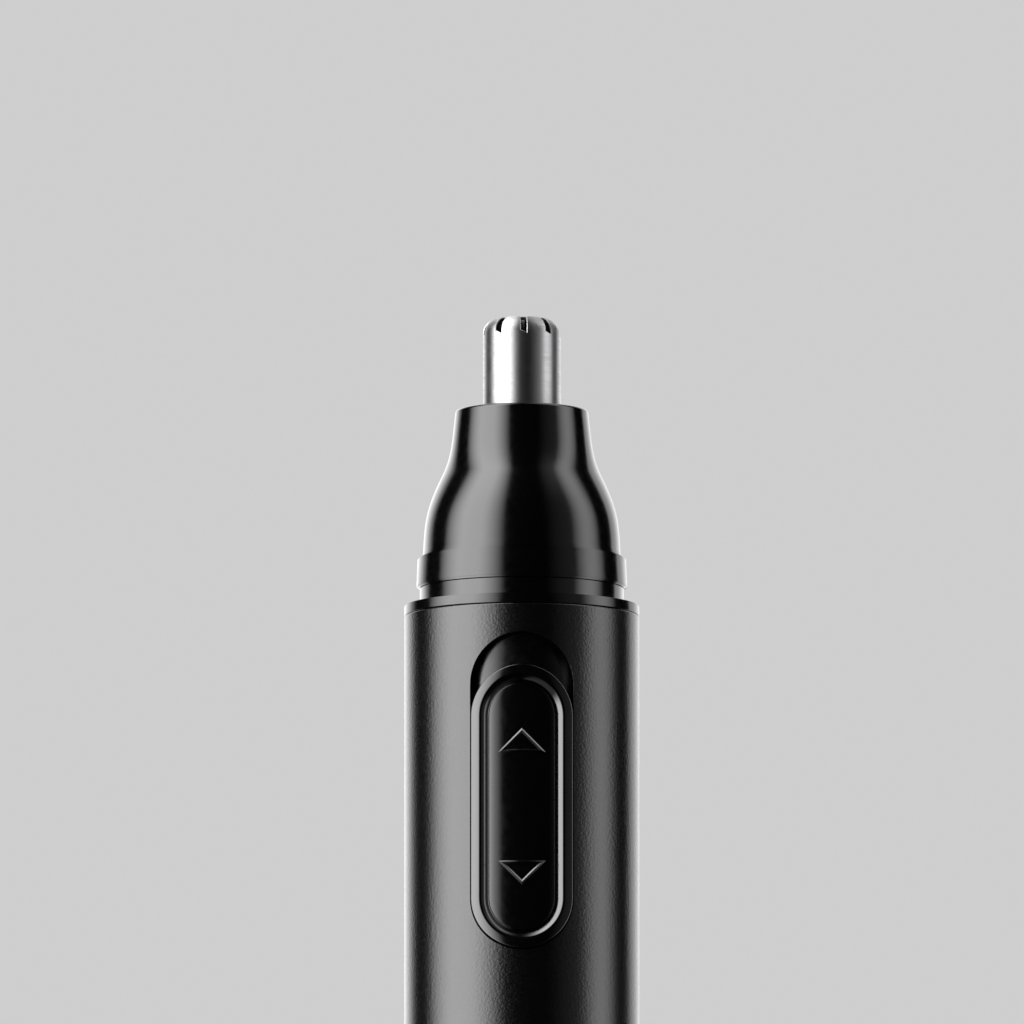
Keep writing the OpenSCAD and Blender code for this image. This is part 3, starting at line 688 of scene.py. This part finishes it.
def button_arrow(name, side):
    """A raised arrowhead outline on the pad, pointing up for side 1 and down for -1.

    It is a ring round a triangle; its section gives distance in and height above the pad."""
    half_base, base_z, per_side, arrow_sharp = 2.75, 5.97, 12, 20
    inradius = half_base * (sqrt(2) - 1)
    corners = [(-half_base, 0.0), (half_base, 0.0), (0.0, half_base)]
    sunk, proud = -0.03, 0.12
    section = ((0.0, sunk), (0.19, proud), (0.24, proud), (0.42, sunk))
    points = []
    rings = []
    for inset, height in section:
        shrink = 1 - inset / inradius
        radius = BODY_R - PAD_DROP + height
        ring = []
        for i, start in enumerate(corners):
            end = corners[(i + 1) % len(corners)]
            for k in range(per_side):
                t = k / per_side
                x = (start[0] + (end[0] - start[0]) * t) * shrink
                up = inradius + (start[1] + (end[1] - start[1]) * t - inradius) * shrink
                ring.append(len(points))
                points.append((x, -sqrt(radius ** 2 - x * x), BUTTON_MID + side * (base_z + up)))
        rings.append(ring)
    faces = []
    for first, second in zip(rings, rings[1:] + rings[:1]):
        faces += bridge(first, second)
    mesh_piece(name, points, faces, "switch", BUTTON_GLOSS, sharp=arrow_sharp)


# ---------------------------------------------------------------- turned pieces

def head_frame():
    """Trim ring, neck and the spigot that the nozzle pushes onto."""
    neck_r, spigot_r, groove_r, bore_r = 11.28, 10.1, 9.05, 8.0
    groove_foot, groove_top = HEAD_SEAT - 2.4, HEAD_SEAT - 1.2
    seal_r, stem_r, plate_top, plate_foot = 4.22, 3.4, HEAD_SEAT - 1.2, HEAD_SEAT - 1.6
    skirt_r, insert_r = BORE_R - 1.35, BORE_R - 0.1
    insert_foot, ring_foot, ring_edge = CHASSIS_TOP + 0.05, SLEEVE_TOP + 0.03, 0.12
    profile = outline(
        (bore_r, FRAME_FOOT),
        (skirt_r, FRAME_FOOT, 0.3),
        (skirt_r, insert_foot),
        (insert_r, insert_foot, 0.1),
        (insert_r, ring_foot),
        (BODY_R, ring_foot, ring_edge),
        (BODY_R, RING_TOP, ring_edge),
        (neck_r, RING_TOP, 0.12),
        (neck_r, HEAD_SEAM, 0.08),
        (spigot_r, HEAD_SEAM, 0.1),
        (spigot_r, groove_foot, 0.08),
        (groove_r, groove_foot),
        (groove_r, groove_top),
        (spigot_r, groove_top, 0.08),
        (spigot_r, HEAD_SEAT, 0.3),
        (seal_r, HEAD_SEAT, 0.1),
        (seal_r, plate_top),
        (stem_r, plate_top),
        (stem_r, plate_foot),
        (bore_r, plate_foot),
    )
    key = block_mesh((-KEY_HALF_W, -KEY_R, HEAD_SEAM - 0.05),
                     (KEY_HALF_W, 0.3 - spigot_r, groove_foot), 0.12)
    piece = lathe_piece("neck_frame", profile, "handle",
                        MATERIALS["gloss_black"], extras=[key])
    radial_normals(piece.data,
                   lambda face: in_band(face, BODY_R - ring_edge, RING_TOP - ring_edge, RING_TOP))
    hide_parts("head_frame")


def nozzle():
    """The bell-shaped nozzle with its collar, bored for the spigot and the guard."""
    foot = HEAD_SEAM + 0.06
    foot_r = COLLAR_R - 0.38
    chamfer_top = foot + 0.18
    shoulder = NECK_TOP + 3.5
    bell_foot = (10.92, NECK_TOP + 4.2)
    bell_mid = (8.85, NECK_TOP + 12.7)
    bell_top = (7.38, NOZZLE_TOP - 0.5)
    curve_steps = 28

    def along(point, lean, up):
        """A curve's handle: up from the point, and inwards by lean for each unit."""
        return point[0] - lean * up, point[1] + up

    collar = outline(
        (SPIGOT_BORE_R, foot),
        (foot_r, foot, 0.06),
        (COLLAR_R, chamfer_top, 0.05),
        (COLLAR_R - 0.12, shoulder - 0.08, 0.1),
        (bell_foot[0] + 0.03, shoulder + 0.35, 0.12),
        bell_foot,
    )
    bell = bezier(bell_foot, along(bell_foot, 0.04, 3.5),
                  along(bell_mid, 0.49, -3.5), bell_mid, curve_steps)
    waist = bezier(bell_mid, along(bell_mid, 0.49, 2.1),
                   along(bell_top, 0.11, -3.4), bell_top, curve_steps)
    guard_bore_r, throat_r, room_r = GUARD_R + 0.05, 6.45, 9.0
    inside = outline(
        bell_top,
        (bell_top[0] - 0.03, NOZZLE_TOP, 0.34),
        (guard_bore_r, NOZZLE_TOP, 0.1),
        (guard_bore_r, GUARD_SEAT),
        (throat_r, GUARD_SEAT),
        (throat_r, GUARD_SEAT - 3.9),
        (room_r, GUARD_SEAT - 4.4),
        (room_r, HEAD_SEAT + 0.9),
        (SPIGOT_BORE_R, HEAD_SEAT + 0.3),
        (SPIGOT_BORE_R, foot),
    )
    profile = collar[:-1] + bell[:-1] + waist[:-1] + inside[:-1]
    piece = lathe_piece("nozzle_shell", profile, "head", MATERIALS["gloss_black"])
    cut_block(piece, (-KEY_HALF_W - KEY_GAP, -KEY_R - KEY_GAP, foot - 1),
              (KEY_HALF_W + KEY_GAP, 1.25 - SPIGOT_BORE_R, HEAD_SEAT - 2), 0.05)
    radial_normals(piece.data, lambda face: in_band(face, foot_r, foot, chamfer_top)
                   or in_band(face, bell_foot[0], shoulder - 0.2, bell_foot[1]))
    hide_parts("nozzle")


def base_cap():
    """The pull-off base, with its spigot and seal groove."""
    spigot_r, room_r = BORE_R - 0.1, BORE_R - 1.25
    groove_r, groove_foot, groove_top = spigot_r - 0.67, SLEEVE_FOOT + 2.55, SLEEVE_FOOT + 3.45
    dish, floor, seam = CAP_FOOT + 0.25, CAP_FOOT + 1.8, SLEEVE_FOOT - 0.04
    profile = outline(
        (0, dish),
        (8.5, dish, 0.2),
        (9.0, CAP_FOOT, 0.2),
        (CAP_R, CAP_FOOT, 0.8),
        (CAP_R, seam, 0.15),
        (spigot_r, seam, 0.1),
        (spigot_r, groove_foot, 0.06),
        (groove_r, groove_foot),
        (groove_r, groove_top),
        (spigot_r, groove_top, 0.06),
        (spigot_r, CAP_SPIGOT_TOP, 0.4),
        (room_r, CAP_SPIGOT_TOP, 0.1),
        (room_r, floor, 0.4),
        (0, floor),
    )
    piece = lathe_piece("base_shell", profile, "base", MATERIALS["gloss_black"])
    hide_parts("base_cap")


# ---------------------------------------------------------------- cutter guard

def guard_rows():
    """The guard's rows from the top's centre to the foot, each a (radius, height) point of
    the outer skin and one of the inner, and the rows at which the slots start and end."""
    edge_r, edge_steps = 1.65, 10
    slot_start_r, slot_end = 2.2, GUARD_TOP - SLOT_DEPTH
    centre_r, centre_z = GUARD_R - edge_r, GUARD_TOP - edge_r
    bore_r = GUARD_R - GUARD_WALL
    rows = []
    for radius in (0.0, 0.9, 1.5, 1.9, 2.14, slot_start_r, 2.4, centre_r):
        rows.append(((radius, GUARD_TOP), (radius, GUARD_TOP - GUARD_WALL)))
    start_row = [outer[0] for outer, _ in rows].index(slot_start_r)
    for k in range(1, edge_steps + 1):
        a = radians(90 - 90 * k / edge_steps)
        rows.append(tuple((centre_r + r * cos(a), centre_z + r * sin(a))
                          for r in (edge_r, edge_r - GUARD_WALL)))
    last_open = 0.05
    below_slot = (-0.16, -0.05, last_open, 0.16, 0.4, 0.9, 2, 4)
    end_row = len(rows) + below_slot.index(last_open)
    for drop in below_slot:
        z = slot_end - drop
        rows.append(((GUARD_R, z), (bore_r, z)))
    rows.append(((GUARD_R, GUARD_SEAT), (bore_r, GUARD_SEAT)))
    rows.append(((FLANGE_R, GUARD_SEAT), (bore_r, GUARD_SEAT - 0.3)))
    rows.append(((FLANGE_R, GUARD_FOOT), (bore_r, GUARD_FOOT)))
    return rows, start_row, end_row


def slot_turn(column, radius, brink):
    """The angle of a column from its slot's middle. Columns -1 to 1 span the slot, out to
    brink on each side, and the others share the steel up to the next sector."""
    side = 1 if column >= 0 else -1
    slot_edge = asin(brink / max(radius, SLOT_HUB_R))
    steps = abs(column)
    if steps <= 1:
        return side * slot_edge * steps
    return side * (slot_edge + (pi / SLOTS - slot_edge) * (steps - 1) / STEEL_COLUMNS)


def slanted(radius, height, turn):
    """The height of a point once the slot's lower end is slanted."""
    slant, spread_z = 0.5, 0.9
    near_end = max(0.0, 1 - abs(height - (GUARD_TOP - SLOT_DEPTH)) / spread_z)
    across = max(-SLOT_HALF_W, min(SLOT_HALF_W, radius * sin(turn)))
    return height - slant * across * near_end


def cutter_guard():
    """The steel tube: slots with bevelled edges and slanted ends run over its round edge."""
    bevel, first_turn = 0.08, -87
    rows, start_row, end_row = guard_rows()
    last_row = len(rows) - 1
    columns = range(-STEEL_COLUMNS - 1, STEEL_COLUMNS + 2)
    brim = [(-1, start_row), (0, start_row)]
    brim += [(1, r) for r in range(start_row, end_row)]
    brim += [(1, end_row), (0, end_row)]
    brim += [(-1, r) for r in range(end_row, start_row, -1)]
    points = []
    faces = []
    for sector in range(SLOTS):
        middle = radians(first_turn + 360 * sector / SLOTS)

        def place(radius, height, turn):
            """Adds a point at an angle from the slot's middle."""
            points.append((radius * cos(middle + turn), radius * sin(middle + turn),
                           slanted(radius, height, turn)))
            return len(points) - 1

        outer, inner = {}, {}
        for grid, skin, brink in ((outer, 0, SLOT_HALF_W + bevel), (inner, 1, SLOT_HALF_W)):
            for r, row in enumerate(rows):
                radius, height = row[skin]
                if skin == 0 and r == start_row:
                    radius -= bevel
                for c in columns:
                    grid[c, r] = place(radius, height, slot_turn(c, radius, brink))
            for r in range(last_row):
                for c in columns[:-1]:
                    if start_row <= r < end_row and c in (-1, 0):
                        continue
                    faces.append((grid[c, r], grid[c + 1, r], grid[c + 1, r + 1], grid[c, r + 1]))
        throat = []
        for c, r in brim:
            (out_r, out_z), (in_r, in_z) = rows[r]
            radius = out_r + (in_r - out_r) * bevel / GUARD_WALL
            height = out_z + (in_z - out_z) * bevel / GUARD_WALL
            if r == end_row:
                height += bevel
            throat.append(place(radius, height, slot_turn(c, radius, SLOT_HALF_W)))
        faces += bridge([outer[spot] for spot in brim], throat)
        faces += bridge(throat, [inner[spot] for spot in brim])
        for c in columns[:-1]:
            faces.append((outer[c, last_row], outer[c + 1, last_row],
                          inner[c + 1, last_row], inner[c, last_row]))
    piece = mesh_piece("guard_tube", points, faces, "head", MATERIALS["blade_steel"])
    # The faces that look in towards the axis get the near-black steel: painted shade inside the tube.
    piece.data.materials.append(PAINTED_SHADE_STEEL)
    middle_of_seat = Vector((0, 0, GUARD_SEAT)) * MM
    for polygon in piece.data.polygons:
        if polygon.normal.dot(polygon.center - middle_of_seat) < 0:
            polygon.material_index = 1
    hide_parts("cutter_guard")


# ---------------------------------------------------------------- stage

def studio_world():
    """Soft upright lights all round, on a dark ground. The eye sees a plain pale backdrop.

    Each light is a lobe: its azimuth (0 on the camera's side, 90 on the object's right),
    half its width, its brightness, how hard its edges are and the elevation of its foot.
    Under its foot it fades to a fraction, and well above the object to a dim ceiling."""
    backdrop, ground, ceiling, low_light = 0.62, 0.004, 0.03, 0.05
    foot_softness, ceiling_foot, ceiling_top = 14, 66, 88
    lobes = (
        (-62, 42, 10.3, 1.12, -26),
        (83.5, 21.5, 3.8, 1, -26),
        (62, 34, 0.25, 1, -26),
        (68, 34, 0.45, 1, 45),
        (-157, 28, 2.1, 1.3, -26),
        (152, 23, 1.7, 4, -26),
        (180, 40, 0.6, 2, -26),
    )
    world = bpy.data.worlds.new("studio")
    scene.world = world
    world.use_nodes = True
    tree = world.node_tree
    tree.nodes.clear()

    def compute(operation, *values):
        """A maths node's output, from numbers and other nodes' outputs."""
        node = tree.nodes.new("ShaderNodeMath")
        node.operation = operation
        for socket, value in zip(node.inputs, values):
            if isinstance(value, (int, float)):
                socket.default_value = value
            else:
                tree.links.new(value, socket)
        return node.outputs["Value"]

    def fade(foot, top, below, above):
        """A smooth step between two elevations in degrees."""
        node = tree.nodes.new("ShaderNodeMapRange")
        node.interpolation_type = "SMOOTHSTEP"
        tree.links.new(elevation, node.inputs["Value"])
        node.inputs["From Min"].default_value = radians(foot)
        node.inputs["From Max"].default_value = radians(top)
        node.inputs["To Min"].default_value = below
        node.inputs["To Max"].default_value = above
        return node.outputs["Result"]

    place = tree.nodes.new("ShaderNodeTexCoord")
    axes = tree.nodes.new("ShaderNodeSeparateXYZ")
    tree.links.new(place.outputs["Generated"], axes.inputs["Vector"])
    azimuth = compute("ARCTAN2", axes.outputs["X"], compute("MULTIPLY", axes.outputs["Y"], -1.0))
    elevation = compute("ARCSINE", axes.outputs["Z"])
    light = ground
    for centre, half_width, peak, hardness, foot in lobes:
        offset = compute("PINGPONG", compute("SUBTRACT", azimuth, radians(centre)), pi)
        phase = compute("MINIMUM", compute("MULTIPLY", offset, 90 / half_width), pi / 2)
        rise = compute("MINIMUM", compute("MULTIPLY", compute("COSINE", phase), hardness), 1.0)
        height = fade(foot - foot_softness, foot + foot_softness, low_light * peak, peak)
        light = compute("ADD", light, compute("MULTIPLY", rise, height))
    share = fade(ceiling_foot, ceiling_top, 1.0, 0.0)
    light = compute("ADD", compute("MULTIPLY", light, share),
                    compute("MULTIPLY", compute("SUBTRACT", 1.0, share), ceiling))
    path = tree.nodes.new("ShaderNodeLightPath")
    seen = tree.nodes.new("ShaderNodeBackground")
    seen.inputs["Color"].default_value = (backdrop, backdrop, backdrop * 1.01, 1)
    felt = tree.nodes.new("ShaderNodeBackground")
    tree.links.new(light, felt.inputs["Strength"])
    mix = tree.nodes.new("ShaderNodeMixShader")
    out = tree.nodes.new("ShaderNodeOutputWorld")
    tree.links.new(path.outputs["Is Camera Ray"], mix.inputs["Fac"])
    tree.links.new(felt.outputs["Background"], mix.inputs[1])
    tree.links.new(seen.outputs["Background"], mix.inputs[2])
    tree.links.new(mix.outputs["Shader"], out.inputs["Surface"])


def floor_disc():
    """A round tabletop, small enough for the camera to look past it from below.

    It rides on the base, so that the base cap stands on it in every pose."""
    radius, thick, edge = 400.0, 12.0, 3
    profile = outline((0, 0), (radius, 0, edge), (radius, -thick, edge), (0, -thick))
    points, faces = lathe_mesh(profile, segments=96)
    mesh = bpy.data.meshes.new("floor")
    mesh.from_pydata([Vector(p) * MM for p in points], [], faces)
    material, shader = new_material("floor", (0.324, 0.324, 0.328), 0.9, specular=0.0)
    add_bump(material, shader, [(noise(material, 3.0), 0.02)])
    mesh.materials.append(material)
    disc = bpy.data.objects.new("floor", mesh)
    disc.visible_glossy = False
    scene.collection.objects.link(disc)
    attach(disc, "base")


def camera():
    """A long lens from below the horizon, so that upright lines stay parallel."""
    view_width, away, elevation, sensor_mm = 0.11330, 4.0, radians(-7.2), 36
    aim = Vector((-0.00109, 0.0, SLEEVE_TOP * MM + 0.0117))
    back = Vector((0, -cos(elevation), sin(elevation)))
    data = bpy.data.cameras.new("camera")
    data.sensor_width = sensor_mm
    data.lens = sensor_mm * away / view_width
    data.clip_start = 0.5
    data.clip_end = 20
    eye = bpy.data.objects.new("camera", data)
    eye.location = aim + back * away
    eye.rotation_mode = "QUATERNION"
    eye.rotation_quaternion = back.to_track_quat("Z", "Y")
    scene.collection.objects.link(eye)
    scene.camera = eye


sleeve()
recess_floor()
switch_button()
button_arrow("arrow_on", 1)
button_arrow("arrow_off", -1)
head_frame()
nozzle()
base_cap()
cutter_guard()

camera()
studio_world()
floor_disc()

scene.view_settings.view_transform = "Standard"
